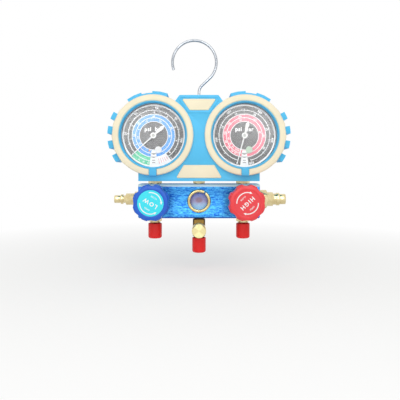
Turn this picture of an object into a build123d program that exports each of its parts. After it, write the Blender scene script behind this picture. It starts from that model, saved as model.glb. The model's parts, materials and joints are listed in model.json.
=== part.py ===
from build123d import *
from math import cos, degrees, radians, sin
import os

os.makedirs("parts", exist_ok=True)

# Refrigerant manifold gauge set, in millimetres. +Z points to the hook and -Y to the
# front. The origin is the centre of the manifold bar's back face. A depth is the
# distance from that face towards the front.
FRONT, BACK, UP, DOWN = (0, -1, 0), (0, 1, 0), (0, 0, 1), (0, 0, -1)
LEFT, RIGHT = (-1, 0, 0), (1, 0, 0)

# Fits: threads are drawn as plain cylinders with this much room all round.
thread_fit = 0.05
running_fit = 0.05
seat_fit = 0.1
moving_gap = 0.3

# Gauge case and the boot round it, which set how far apart the two sides are
case_radius = 34.0
boot_side = 7.3
ring_gap = 11.4
boot_radius = case_radius + boot_side
port_spacing = 2 * boot_radius + ring_gap
side_x = {"low": -port_spacing / 2, "high": port_spacing / 2}

# Manifold bar
bar_end = 16.6
bar_width = port_spacing + 2 * bar_end
bar_height = 36.0
bar_depth = 28.0
bar_edge = 1.2
bar_top = bar_height / 2
port_depth = bar_depth / 2
port_thread = 4.8
port_thread_length = 7.0
passage = 2.5

# Gauges
boot_gap = 3.0
apron_lip = 5.7
boot_bottom = bar_top + boot_gap
gauge_z = boot_bottom + apron_lip + boot_radius
case_wall = 1.0
case_back = 5.0
case_front = 35.5
lens_thickness = 2.0
lens_front = case_front + lens_thickness
lens_skirt_wall = 0.7
lens_skirt = 2.4
dial_depth = 30.0
dial_thickness = 0.8
dial_gap = 0.3
dial_radius = case_radius - case_wall - dial_gap
pointer_reach = dial_radius - 2.3
pointer_tail = 15.5
pointer_hub = 2.9
pointer_sheet = 0.5
pointer_half = 0.8
tail_half = 2.0
tail_taper = 3.5
zero_head = 3.6
zero_shank = 1.2
pointer_angle = {"low": 228.0, "high": 195.0}
pointer_sweep = {"low": (-38.0, 302.0), "high": (0.0, 325.0)}

# Gauge movement
tooth_module = 0.6
pinion_teeth = 10
sector_teeth = 60
gear_depth = 22.0
gear_thickness = 1.2
plate_thickness = 1.0
arbor = 0.8
tube_radius = case_radius - 10.0
tube_wall = 2.4
tube_width = 7.0
tail_length = 5.0
link_thickness = 0.8
link_eye = 1.7
link_pin = 0.6
pillar = 1.2
pillar_lug = 3.0
pillar_side = 9.0
pillar_crown = 8.0
pillar_foot = case_radius - 7.0
sector_hub = 2.4
sector_arbor = 0.9
sector_rim = 3.0
tail_eye = 1.5
screw_shank = 1.4
screw_head = 2.6
screw_length = 5.5
block_half = 6.0
block_bottom = 4.0 - case_radius
block_top = 15.0 - case_radius

# Boot
boot_back = 3.0
panel_front = 38.0
land_front = 41.5
land_radius = case_radius + 0.6
lip_radius = case_radius - 1.4
lip_rim = 0.6
lip_ledge = 0.4
back_opening = case_radius - 6.0
boot_wall = 3.5
boot_top = gauge_z + boot_radius - 0.3
bridge_half = ring_gap / 2 + 19.3
bridge_shoulder = 7.0
shoulder_width = 5.0
shoulder_round = 2.5
channel_half = 8.0
apron_half = port_spacing / 2 + 15.0
apron_height = 14.0
ring_seat = 38.5
ring_front = 42.0
ring_edge = 0.9
facet_angle = 9.5
key_width = 7.5
lug_radius = boot_radius + 5.7
low_lug_radius = boot_radius + 2.3
top_lug_radius = boot_radius + 4.0
lug_root = 3.0
lug_depth = 5.0
lug_setback = 1.5
inlay_depth = 2.0
inlay_proud = 0.6
inlay_round = 1.3
rim_inset = 1.3
rim_width = 1.3
rim_height = 0.5

# Hanging hook
wire = 1.5
hook_radius = 23.5
hook_offset = -4.9
hook_rise = 38.6
hook_centre = (hook_offset, boot_top + hook_rise)
hook_neck_angle = -46.7
hook_tip_angle = 199.7
hook_bend = 10.0
hook_head = 2.6
bush_thread = 4.0
bush_length = 6.0
bush_head = 3.4
bush_flats = 11.0
hex_chamfer = 0.8

# Valves
chamber = 6.0
bonnet_thread = 8.0
bonnet_end = bar_depth - 8.0
seat_depth = bonnet_end - 7.5
bonnet_flats = 19.0
bonnet_hex = 3.5
bonnet_neck = 7.0
bonnet_front = bar_depth + 13.0
stem = 3.0
stem_head = 4.5
seal_height = 2.1
knob_radius = 18.3
knob_length = 20.0
knob_back = bonnet_front + 3.0
knob_front = knob_back + knob_length
knob_face = knob_radius - 1.1
knob_shoulder = 4.6
stem_front = knob_front - 6.0
knob_scallops = 8
scallop_radius = 7.0
scallop_cut = 1.8
knob_edge = 1.1
screw_radius = 1.5
screw_crown = 3.4
screw_grip = 8.1
knob_socket = 12.5
knob_hub = 6.0
knob_hollow = 9.0
label_radius = 12.8
label_thickness = 0.6

# Sight glass
glass_radius = 10.0
glass_thickness = 5.0
glass_seal = 2.0
sight_radius = 12.25
sight_window = 9.0
sight_seat = bar_depth - 2.5
sight_front = sight_seat + 3.8
sight_gap = 1.6
sight_chamber = 7.0
gallery = 2.0
gallery_depth = seat_depth - 3.25

# Hose ports and caps
flare_thread = 5.5
flare_tip = 3.2
flare_cone = 2.0
fitting_flats = 12.7
fitting_hex = 4.3
flare_length = 14.2
cap_radius = 7.25
cap_length = 16.0
cap_end = 2.1
cap_start = 2.0
cap_round = 2.2
gasket_thickness = 1.6
tee_width = 13.0
tee_neck = 2.0
tee_height = 17.5
service_drop = 12.0
service_front = port_depth + 22.0
core_radius = 2.5
core_front = service_front - 1.5
core_length = 9.5
pin_radius = 0.5

# Parking posts, with a hexagon and then round (length, radius) sections
post_depth = port_depth - 2.0
post_rise = 1.2
post_thread = 4.9
post_thread_length = 8.0
post_hex = {"low": (5.4, 14.0), "high": (9.1, 17.0)}
post_sections = {
    "low": [(9.0, 6.2), (2.35, 4.15), (0.95, 3.6), (2.35, 5.25), (0.95, 3.5), (6.0, 4.15)],
    "high": [(6.2, 7.5), (3.9, 6.0), (3.1, 6.8), (0.8, 5.0), (5.8, 5.5)],
}


def front_plane(x, depth, z):
    """Sketch plane that faces the front, its X to the right and its Y up."""
    return Plane(origin=(x, -depth, z), x_dir=RIGHT, z_dir=FRONT)


def turned(origin, along, outline, mode=Mode.ADD):
    """Revolve an outline of (station, radius) points about the axis through origin."""
    direction = Vector(*along)
    radial = Vector(1, 0, 0) if abs(direction.Z) > 0.5 else Vector(0, 0, 1)
    plane = Plane(origin=origin, x_dir=along, z_dir=direction.cross(radial))
    with BuildSketch(plane) as half:
        with BuildLine():
            Polyline(*outline, close=True)
        make_face()
    revolve(half.sketch, axis=Axis(origin, along), mode=mode)


def steps(start, *sections, bore=0.0):
    """Outline of a stepped shaft made of (length, radius) sections, with a bore."""
    points = [(start, bore)]
    station = start
    for length, radius in sections:
        points += [(station, radius), (station + length, radius)]
        station += length
    return points + [(station, bore)]


def hexagon(origin, along, start, length, across_flats):
    """Extrude wrench flats along an axis and turn down their corners."""
    base = Vector(*origin) + Vector(*along) * start
    with BuildSketch(Plane(origin=base, z_dir=along)) as flats:
        RegularPolygon(across_flats / 2, 6, major_radius=False)
    extrude(flats.sketch, amount=length)
    corner = across_flats / 2 / cos(radians(30)) + seat_fit
    for end, inward in ((start, hex_chamfer), (start + length, -hex_chamfer)):
        turned(origin, along, [(end, across_flats / 2 + seat_fit), (end, corner),
                               (end + inward, corner)], mode=Mode.SUBTRACT)


def drill(origin, along, *sections):
    """Cut a stepped hole of (length, radius) sections that starts at origin."""
    turned(origin, along, steps(0, *sections), mode=Mode.SUBTRACT)


def save(piece, name):
    """Label a finished piece and write it to its own file."""
    piece.part.label = name
    export_step(piece.part, f"parts/{name}.step")


def toothed(teeth, first, count):
    """Add straight-flanked gear teeth round the sketch's centre."""
    pitch_radius = tooth_module * teeth / 2
    root = pitch_radius - 1.05 * tooth_module
    tip = pitch_radius + 0.65 * tooth_module
    pitch = 360 / teeth
    tip_half = radians(pitch) * pitch_radius * 0.09
    root_half = radians(pitch) * pitch_radius * 0.27
    for number in range(count):
        with Locations(Rotation(0, 0, first + number * pitch)):
            Polygon(
                (root - tooth_module / 2, -root_half),
                (root, -root_half),
                (tip, -tip_half),
                (tip, tip_half),
                (root, root_half),
                (root - tooth_module / 2, root_half),
                align=None,
            )


# Manifold bar, with its ports and drillings
with BuildPart() as manifold_body:
    with BuildSketch(front_plane(0, 0, 0)):
        Rectangle(bar_width, bar_height)
    extrude(amount=bar_depth)
    chamfer(manifold_body.edges(), bar_edge)
    for x in side_x.values():
        for start, along in ((bar_top, DOWN), (-bar_top, UP)):
            drill((x, -port_depth, start), along, (port_thread_length, port_thread),
                  (bar_top - port_thread_length - chamber + 1, passage))
        drill((x, -bar_depth, 0), BACK, (bar_depth - bonnet_end, bonnet_thread),
              (bonnet_end - seat_depth, chamber), (seat_depth - gallery_depth, passage))
        end = RIGHT if x < 0 else LEFT
        drill((x / abs(x) * bar_width / 2, -post_depth, post_rise), end,
              (post_thread_length + 0.5, post_thread))
    drill((bar_width / 2 - post_thread_length, -gallery_depth, 0), LEFT,
          (bar_width / 2 - post_thread_length + port_spacing / 2 + passage, gallery))
    drill((0, -bar_depth, 0), BACK, (bar_depth - sight_seat, sight_radius + seat_fit),
          (glass_thickness + glass_seal, glass_radius + seat_fit),
          (sight_seat - glass_thickness - glass_seal - gallery_depth, sight_chamber))
    drill((0, -port_depth, -bar_top), UP, (port_thread_length, port_thread),
          (bar_top - port_thread_length - sight_chamber + 1, passage))
    drill((0, -port_depth, bar_top), DOWN, (bush_length + 3, bush_thread + thread_fit))
save(manifold_body, "manifold_body")

# Boot that carries both gauges
gauge_centres = [(x, gauge_z) for x in side_x.values()]


def trapezoid(top, top_half, bottom, bottom_half):
    """Corners of a panel inlay, its heights measured from the gauges' centres."""
    return [(-top_half, gauge_z + top), (top_half, gauge_z + top),
            (bottom_half, gauge_z + bottom), (-bottom_half, gauge_z + bottom)]


inlay_corners = {
    "upper": trapezoid(boot_radius - 4.1, ring_gap / 2 + 12.2,
                       boot_radius - 16.0, ring_gap / 2 + 3.95),
    "lower": trapezoid(10.9 - boot_radius, ring_gap / 2 + 10.0,
                       -2.7 - boot_radius, ring_gap / 2 + 18.1),
}
# Grip lugs on the high gauge: centre angle from the right-hand horizontal, width and
# outer radius. The low gauge mirrors them.
lugs = [
    (99, 20, top_lug_radius), (81.5, 15, low_lug_radius), (64, 20, top_lug_radius),
    (26, 9.5, lug_radius), (7, 9.5, lug_radius), (-12, 9.5, lug_radius),
    (-31, 9.5, lug_radius),
]

with BuildPart() as boot:
    with BuildSketch(front_plane(0, boot_back, 0)) as back:
        shoulder = bridge_half - shoulder_width
        Polygon((-bridge_half, boot_bottom), (bridge_half, boot_bottom),
                (bridge_half, boot_top - bridge_shoulder), (shoulder, boot_top),
                (-shoulder, boot_top), (-bridge_half, boot_top - bridge_shoulder),
                align=None)
        fillet(back.vertices().sort_by(Axis.Y)[-4:], shoulder_round)
        with Locations(*gauge_centres):
            Circle(boot_radius)
        with Locations((0, boot_bottom + apron_height / 2)):
            Rectangle(2 * apron_half, apron_height)
    extrude(amount=panel_front - boot_back)
    for side, x in side_x.items():
        with BuildSketch(front_plane(x, lug_depth, gauge_z)):
            for angle, width, radius in lugs:
                facing = angle if side == "high" else 180 - angle
                with Locations(Rotation(0, 0, facing)):
                    half = radius * sin(radians(width / 2))
                    reach = radius * cos(radians(width / 2))
                    root = boot_radius - lug_root
                    Polygon((root, -half * 0.9), (reach, -half), (radius, 0),
                            (reach, half), (root, half * 0.9), align=None)
        extrude(amount=panel_front - lug_setback - lug_depth)
    with BuildSketch(front_plane(0, panel_front, 0)):
        with Locations(*gauge_centres):
            Circle(boot_radius)
    extrude(amount=ring_seat - panel_front)
    with BuildSketch(front_plane(0, ring_seat, 0)):
        with Locations(*gauge_centres):
            Circle(land_radius)
        with Locations(*[(x, z - (boot_radius + lip_radius) / 2) for x, z in gauge_centres]):
            Rectangle(key_width, boot_radius - lip_radius)
    extrude(amount=land_front - ring_seat)
    # Pockets for the gauge cases, open at the front lip and at the back
    for x, z in gauge_centres:
        drill((x, -boot_back, z), FRONT,
              (case_back - boot_back - seat_fit, back_opening),
              (lens_front - case_back + 2 * seat_fit,
               case_radius + seat_fit))
        turned((x, 0, z), FRONT, [
            (case_front, 0), (case_front, lip_radius), (lens_front + lip_ledge, lip_radius),
            (land_front, land_radius - lip_rim), (land_front, 0)], mode=Mode.SUBTRACT)
        drill((x, -port_depth, boot_bottom), UP,
              (gauge_z - case_radius + 2 - boot_bottom, fitting_flats * 0.6))
    # Channel in the bridge for the hook's shank, open at the back and below
    with BuildSketch(front_plane(0, boot_back, 0)):
        with Locations((0, (boot_bottom + boot_top - boot_wall) / 2)):
            Rectangle(2 * channel_half, boot_top - boot_wall - boot_bottom)
        with Locations(*gauge_centres):
            Circle(case_radius + boot_wall, mode=Mode.SUBTRACT)
    extrude(amount=panel_front - inlay_depth - boot_wall - boot_back, mode=Mode.SUBTRACT)
    with Locations(Plane(origin=(0, -port_depth, boot_top))):
        Hole(wire + 0.2, depth=boot_wall + 1)
    # Recesses for the two inlays, and a raised rim round the upper one
    with BuildSketch(front_plane(0, panel_front - inlay_depth, 0)) as recess:
        for corners in inlay_corners.values():
            Polygon(*corners, align=None)
        fillet(recess.vertices(), inlay_round)
    extrude(amount=inlay_depth, mode=Mode.SUBTRACT)
    with BuildSketch(front_plane(0, panel_front, 0)) as rim:
        Polygon(*inlay_corners["upper"], align=None)
        offset(amount=rim_inset + rim_width, mode=Mode.REPLACE)
        with BuildSketch(mode=Mode.SUBTRACT) as inside:
            Polygon(*inlay_corners["upper"], align=None)
            offset(amount=rim_inset, mode=Mode.REPLACE)
    extrude(amount=rim_height)
save(boot, "boot")

for name, corners in inlay_corners.items():
    with BuildPart() as inlay:
        with BuildSketch(front_plane(0, panel_front - inlay_depth, 0)) as face:
            Polygon(*corners, align=None)
            fillet(face.vertices(), inlay_round)
            offset(amount=-seat_fit, mode=Mode.REPLACE)
        extrude(amount=inlay_depth + inlay_proud)
        chamfer(inlay.faces().sort_by(Axis.Y)[0].edges(), inlay_proud * 0.8)
    save(inlay, f"{name}_inlay")

# Cream rings, with flats along their outer side where the side lugs stand
flat_reach = boot_radius / cos(radians(facet_angle))
facets = [(lugs[3][0] + 2 * facet_angle, boot_radius)]
facets += [(angle + facet_angle, flat_reach) for angle, width, radius in lugs[3:]]
facets += [(lugs[-1][0] - facet_angle, flat_reach), (lugs[-1][0] - 2 * facet_angle, boot_radius)]
for side, x in side_x.items():
    outward = 1 if side == "high" else -1
    with BuildPart() as bezel_ring:
        with BuildSketch(front_plane(x, ring_seat, gauge_z)):
            Circle(boot_radius)
            Polygon((0, 0), *[(outward * reach * cos(radians(angle)), reach * sin(radians(angle)))
                              for angle, reach in facets], align=None)
            Circle(land_radius + seat_fit, mode=Mode.SUBTRACT)
            with Locations((0, -boot_radius)):
                Rectangle(key_width + 2 * seat_fit, 2 * (boot_radius - lip_radius),
                          mode=Mode.SUBTRACT)
        extrude(amount=ring_front - ring_seat)
        chamfer(bezel_ring.faces().sort_by(Axis.Y)[0].edges(), ring_edge)
    save(bezel_ring, f"{side}_bezel_ring")

# Hanging hook: a straight shank, an offset neck and a wide open hook
neck = radians(hook_neck_angle)
neck_point = (hook_centre[0] + hook_radius * cos(neck),
              hook_centre[1] + hook_radius * sin(neck))
bend_z = neck_point[1] - neck_point[0] * cos(neck) / -sin(neck)
shank_foot = bar_top - bush_length - seat_fit
with BuildPart() as hook:
    with BuildLine(front_plane(0, port_depth, 0)):
        FilletPolyline((0, shank_foot), (0, bend_z), neck_point, radius=hook_bend)
        CenterArc(hook_centre, hook_radius, hook_neck_angle,
                  hook_tip_angle - hook_neck_angle)
    with BuildSketch(Plane(origin=(0, -port_depth, shank_foot), z_dir=UP)):
        Circle(wire)
    sweep()
    turned((0, -port_depth, shank_foot), DOWN, steps(0, (2.0, hook_head)))
save(hook, "hook")

with BuildPart() as hook_bush:
    bush_origin = (0, -port_depth, bar_top)
    turned(bush_origin, DOWN, steps(0, (bush_length, bush_thread)))
    hexagon(bush_origin, UP, 0, bush_head, bush_flats)
    drill((0, -port_depth, bar_top + bush_head), DOWN,
          (bush_head + bush_length, wire + running_fit))
save(hook_bush, "hook_bush")

# Gauges, each with its case, lens, dial, movement and brass socket
pinion_radius = tooth_module * pinion_teeth / 2
sector_radius = tooth_module * sector_teeth / 2
pivot_drop = pinion_radius + sector_radius
block_front = gear_depth - 3.0
plate_back = block_front
plate_front = gear_depth + gear_thickness + link_thickness + 2.0
pillar_spots = [(-pillar_side, -pillar_foot), (pillar_side, -pillar_foot), (0.0, pillar_crown)]
tip_angle = -15.0
tube_tip = (tube_radius * cos(radians(tip_angle)), tube_radius * sin(radians(tip_angle)))
zero_screw_spot = (4.9, -14.7)
screw_spots = [(-4.0, 9.5 - case_radius), (4.0, 9.5 - case_radius)]

for side, x in side_x.items():
    centre = (x, 0, gauge_z)
    sweep_low, sweep_high = pointer_sweep[side]
    swing = (sweep_high - sweep_low) * pinion_teeth / sector_teeth
    start_swing = sweep_low * pinion_teeth / sector_teeth
    mid_swing = start_swing + swing / 2

    with BuildPart() as gauge_case:
        turned(centre, FRONT, [
            (case_back, 0), (case_back, case_radius - 2), (case_back + 2, case_radius),
            (case_front, case_radius), (case_front, case_radius - case_wall),
            (case_back + 2, case_radius - case_wall),
            (case_back + case_wall, case_radius - 2 - case_wall),
            (case_back + case_wall, 0)])
        drill((x, -port_depth, gauge_z - case_radius - 1), UP, (4, 5.2))
        with Locations(*[front_plane(x + u, case_back, gauge_z + v)
                         for u, v in screw_spots]):
            Cylinder(screw_shank + seat_fit, 4 * case_wall, mode=Mode.SUBTRACT)
    save(gauge_case, f"{side}_gauge_case")

    with BuildPart() as lens:
        skirt = case_radius - case_wall - seat_fit
        turned(centre, FRONT, [
            (case_front, 0), (case_front, skirt - lens_skirt_wall),
            (case_front - lens_skirt, skirt - lens_skirt_wall),
            (case_front - lens_skirt, skirt), (case_front, skirt),
            (case_front, case_radius - 0.1),
            (lens_front, case_radius - 0.6),
            (lens_front, 0)])
    save(lens, f"{side}_lens")

    with BuildPart() as dial:
        with BuildSketch(front_plane(x, dial_depth, gauge_z)):
            Circle(dial_radius)
            Circle(arbor * 2.5, mode=Mode.SUBTRACT)
            with Locations(zero_screw_spot):
                Circle(zero_shank + seat_fit, mode=Mode.SUBTRACT)
        extrude(amount=dial_thickness)
    save(dial, f"{side}_dial")

    with BuildPart() as zero_screw:
        spot = (x + zero_screw_spot[0], 0, gauge_z + zero_screw_spot[1])
        head_depth = dial_depth + dial_thickness
        turned(spot, FRONT, [(head_depth - 2.5, 0), (head_depth - 2.5, zero_shank),
                             (head_depth + running_fit, zero_shank),
                             (head_depth + running_fit, zero_head),
                             (head_depth + 0.6, zero_head), (head_depth + 0.9, zero_head - 0.4),
                             (head_depth + 0.9, 0)])
        with BuildSketch(front_plane(spot[0], head_depth + 0.45, spot[2])):
            Rectangle(8, 0.8, rotation=35)
        extrude(amount=1, mode=Mode.SUBTRACT)
    save(zero_screw, f"{side}_zero_screw")

    with BuildPart() as pointer:
        hub_back = dial_depth + dial_thickness + 1.4
        turned(centre, FRONT, [
            (hub_back, arbor), (hub_back, pointer_hub - pointer_sheet),
            (hub_back + pointer_sheet, pointer_hub), (hub_back + 3 * pointer_sheet, pointer_hub),
            (hub_back + 4 * pointer_sheet, pointer_hub - 0.7), (hub_back + 4 * pointer_sheet, arbor)])
        with BuildSketch(front_plane(x, hub_back + pointer_sheet, gauge_z)):
            with Locations(Rotation(0, 0, 90 - pointer_angle[side])):
                hub_in = pointer_hub / 2
                tip_in, tip_half = pointer_reach - 1, pointer_half / 2
                Polygon((hub_in, pointer_half), (tip_in, tip_half), (pointer_reach, 0),
                        (tip_in, -tip_half), (hub_in, -pointer_half), align=None)
                tail_in = tail_taper - pointer_tail
                Polygon((-hub_in, pointer_half), (tail_in, tail_half), (-pointer_tail, 0),
                        (tail_in, -tail_half), (-hub_in, -pointer_half), align=None)
        extrude(amount=pointer_sheet)
    save(pointer, f"{side}_pointer")

    with BuildPart() as pinion_arbor:
        with BuildSketch(front_plane(x, gear_depth - 0.6, gauge_z)):
            Circle(pinion_radius - 1.05 * tooth_module)
            toothed(pinion_teeth, -90 + 180 / pinion_teeth, pinion_teeth)
        extrude(amount=gear_thickness + 1.2)
        turned(centre, FRONT, steps(plate_back + 0.2, (hub_back - plate_back + 1.8, arbor)))
    save(pinion_arbor, f"{side}_pinion_arbor")

    with BuildPart() as sector_gear:
        pivot = (x, 0, gauge_z - pivot_drop)
        middle = 90 - mid_swing
        reach = swing / 2 + 7
        teeth_before = int((90 - middle + reach) * sector_teeth / 360)
        teeth_after = int((middle + reach - 90) * sector_teeth / 360)
        root = sector_radius - 1.05 * tooth_module
        with BuildSketch(front_plane(pivot[0], gear_depth, pivot[2])):
            with BuildLine():
                rim = CenterArc((0, 0), root, middle - reach, 2 * reach)
                Line((0, 0), rim @ 0)
                Line((0, 0), rim @ 1)
            make_face()
            with BuildLine():
                inner = CenterArc((0, 0), root - sector_rim, middle - reach * 0.75,
                                  reach * 1.5)
                spoke = (1.5 * sector_hub * cos(radians(middle)),
                         1.5 * sector_hub * sin(radians(middle)))
                Line(spoke, inner @ 0)
                Line(spoke, inner @ 1)
            make_face(mode=Mode.SUBTRACT)
            Circle(sector_hub)
            toothed(sector_teeth, 90 - teeth_before * 360 / sector_teeth,
                    teeth_before + teeth_after + 1)
            with Locations(Rotation(0, 0, -57.5 - mid_swing)):
                with Locations((tail_length / 2, 0)):
                    Rectangle(tail_length, sector_hub)
                with Locations((tail_length, 0)):
                    Circle(tail_eye)
        extrude(amount=gear_thickness)
        turned(pivot, FRONT, steps(plate_back + 0.2,
                                   (plate_front + plate_thickness - plate_back - 0.4,
                                    sector_arbor)))
        tail = radians(-57.5 - mid_swing)
        tail_spot = (x + tail_length * cos(tail), 0, pivot[2] + tail_length * sin(tail))
        turned(tail_spot, FRONT, steps(gear_depth, (gear_thickness + 1.3, link_pin)))
    save(sector_gear, f"{side}_sector_gear")

    with BuildPart() as link:
        link_depth = gear_depth + gear_thickness + moving_gap
        start = (tail_spot[0] - x, tail_spot[2] - gauge_z)
        with BuildSketch(front_plane(x, link_depth, gauge_z)):
            with BuildLine():
                Line(start, tube_tip)
            trace(line_width=link_eye)
            with Locations(start, tube_tip):
                Circle(link_eye)
                Circle(link_pin + running_fit, mode=Mode.SUBTRACT)
        extrude(amount=link_thickness)
    save(link, f"{side}_link")

    with BuildPart() as bourdon_tube:
        tube_start = -90 - degrees(block_half / tube_radius) - 1.0
        with BuildLine(front_plane(x, port_depth, gauge_z)) as coil:
            CenterArc((0, 0), tube_radius, tube_start,
                      -(360 + tube_start - tip_angle) % -360)
        start_point = coil.line @ 0
        with BuildSketch(Plane(origin=start_point, x_dir=BACK,
                               z_dir=coil.line % 0)):
            Polygon((-tube_width / 2, -tube_wall / 5), (-tube_width / 3, -tube_wall / 2),
                    (tube_width / 3, -tube_wall / 2), (tube_width / 2, -tube_wall / 5),
                    (tube_width / 2, tube_wall / 5), (tube_width / 3, tube_wall / 2),
                    (-tube_width / 3, tube_wall / 2), (-tube_width / 2, tube_wall / 5))
        sweep()
        with BuildSketch(front_plane(x, port_depth - tube_width / 2, gauge_z)):
            with Locations(tube_tip):
                Circle(2.6)
        extrude(amount=link_depth - moving_gap - port_depth + tube_width / 2)
    save(bourdon_tube, f"{side}_bourdon_tube")

    with BuildPart() as movement_frame:
        for depth in (plate_back, plate_front):
            with BuildSketch(front_plane(x, depth, gauge_z)):
                with Locations(*pillar_spots):
                    Circle(pillar_lug)
                make_hull()
                Circle(arbor + running_fit, mode=Mode.SUBTRACT)
                with Locations((0, -pivot_drop)):
                    Circle(sector_arbor + running_fit, mode=Mode.SUBTRACT)
            extrude(amount=plate_thickness)
        with BuildSketch(front_plane(x, plate_back, gauge_z)):
            with Locations(*pillar_spots):
                Circle(pillar)
        extrude(amount=dial_depth - plate_back)
    save(movement_frame, f"{side}_movement_frame")

    with BuildPart() as socket:
        foot = (x, -port_depth, bar_top)
        neck_top = gauge_z + block_bottom - bar_top
        with BuildSketch(Plane.XY.offset(gauge_z + block_bottom)):
            with Locations((x, -(case_back + case_wall + block_front) / 2)):
                Rectangle(2 * block_half, block_front - case_back - case_wall)
        extrude(amount=block_top - block_bottom)
        turned(foot, UP, steps(-port_thread_length + 0.3,
                               (port_thread_length - 0.3, port_thread - thread_fit),
                               (neck_top + 2, 5.0)))
        hexagon(foot, UP, 0, 9.0, fitting_flats)
        drill((x, -port_depth, bar_top - port_thread_length), UP,
              (neck_top + port_thread_length + 5, 1.5))
        with Locations(*[front_plane(x + u, case_back + case_wall, gauge_z + v)
                         for u, v in screw_spots]):
            Cylinder(screw_shank + seat_fit, 2 * screw_length, mode=Mode.SUBTRACT)
    save(socket, f"{side}_socket")

with BuildPart() as case_screws:
    for x, z in gauge_centres:
        for u, v in screw_spots:
            turned((x + u, 0, z + v), FRONT,
                   steps(case_back - screw_shank, (screw_shank, screw_head),
                         (screw_length, screw_shank)))
save(case_screws, "case_screws")

# Valves: bonnet, stem, seal and knob on each side
for side, x in side_x.items():
    axis_point = (x, 0, 0)

    with BuildPart() as bonnet:
        turned(axis_point, FRONT, steps(
            bonnet_end, (bar_depth - bonnet_end, bonnet_thread - thread_fit),
            (bonnet_front - bar_depth, bonnet_neck)))
        hexagon(axis_point, FRONT, bar_depth, bonnet_hex, bonnet_flats)
        drill((x, -bonnet_end, 0), FRONT,
              (seal_height + 0.4, 5.0),
              (bonnet_front - bonnet_end, stem + running_fit))
    save(bonnet, f"{side}_bonnet")

    with BuildPart() as stem_seal:
        turned(axis_point, FRONT, steps(bonnet_end + 0.2, (seal_height, 4.9),
                                        bore=stem + running_fit))
    save(stem_seal, f"{side}_stem_seal")

    with BuildPart() as valve_stem:
        turned(axis_point, FRONT, [
            (seat_depth - 1.5, 0), (seat_depth - 1.5, passage - 1.5),
            (seat_depth + 0.5, passage + 0.4), (seat_depth + 2, passage + 0.4),
            (seat_depth + 2, stem_head), (seat_depth + 3.2, stem_head),
            (seat_depth + 3.2, stem), (stem_front, stem), (stem_front, screw_radius + 0.1),
            (stem_front - screw_grip, screw_radius + 0.1), (stem_front - screw_grip, 0)])
    save(valve_stem, f"{side}_valve_stem")

    with BuildPart() as knob:
        with BuildSketch(front_plane(x, knob_back, 0)):
            Circle(knob_radius)
            with PolarLocations(knob_radius + scallop_radius - scallop_cut,
                                knob_scallops):
                Circle(scallop_radius, mode=Mode.SUBTRACT)
        extrude(amount=knob_front - knob_back)
        rim_station = knob_front - knob_shoulder
        turned(axis_point, FRONT, [
            (rim_station - 0.6, knob_radius + seat_fit), (rim_station, knob_face),
            (knob_front - knob_edge, knob_face),
            (knob_front - 0.3 * knob_edge, knob_face - 0.3 * knob_edge),
            (knob_front, knob_face - knob_edge), (knob_front, knob_radius + seat_fit)],
            mode=Mode.SUBTRACT)
        turned(axis_point, FRONT,
               steps(knob_back, (knob_hollow, knob_socket), bore=knob_hub),
               mode=Mode.SUBTRACT)
        drill((x, -knob_back, 0), FRONT,
              (stem_front - knob_back + seat_fit, stem + running_fit),
              (2, screw_radius + 0.2), (knob_front - stem_front - 2, screw_crown + 0.3))
        drill((x, -knob_front, 0), BACK, (label_thickness + 0.2, label_radius + seat_fit))
    save(knob, f"{side}_knob")

    with BuildPart() as knob_label:
        turned(axis_point, FRONT, steps(knob_front - label_thickness - 0.2,
                                        (label_thickness, label_radius)))
    save(knob_label, f"{side}_knob_label")

    with BuildPart() as knob_screw:
        turned(axis_point, FRONT, steps(stem_front + 2.1 - screw_grip, (screw_grip, screw_radius),
                                        (2.2, screw_crown)))
    save(knob_screw, f"{side}_knob_screw")

# Sight glass between the valves
with BuildPart() as sight_seal:
    turned((0, 0, 0), FRONT, steps(sight_seat - glass_thickness - glass_seal,
                                   (glass_seal, glass_radius), bore=sight_chamber + 0.5))
save(sight_seal, "sight_seal")

with BuildPart() as sight_glass:
    turned((0, 0, 0), FRONT, steps(sight_seat - glass_thickness,
                                   (glass_thickness, glass_radius)))
save(sight_glass, "sight_glass")

with BuildPart() as sight_ring:
    turned((0, 0, 0), FRONT, [
        (sight_seat, sight_window), (sight_seat, sight_radius),
        (sight_front - 0.9, sight_radius), (sight_front, sight_radius - 0.9),
        (sight_front, sight_window + 0.9), (sight_front - 0.9, sight_window)])
    with BuildSketch(front_plane(0, sight_seat, 0)):
        with Locations(Rotation(0, 0, 55)):
            with Locations((sight_radius, 0)):
                Rectangle(8, sight_gap)
    extrude(amount=sight_front, mode=Mode.SUBTRACT)
save(sight_ring, "sight_ring")

# Hose fittings, with their red caps and gaskets
flare_end = fitting_hex + flare_length
for side, x in side_x.items():
    with BuildPart() as hose_fitting:
        port = (x, -port_depth, -bar_top)
        turned(port, DOWN, [
            (-port_thread_length + 0.3, 0),
            (-port_thread_length + 0.3, port_thread - thread_fit),
            (0, port_thread - thread_fit), (0, flare_thread),
            (flare_end - flare_cone, flare_thread), (flare_end, flare_tip),
            (flare_end, 0)])
        hexagon(port, DOWN, 0, fitting_hex, fitting_flats)
        drill((x, -port_depth, -bar_top + port_thread_length), DOWN,
              (port_thread_length + flare_end, passage))
    save(hose_fitting, f"{side}_hose_fitting")

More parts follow.
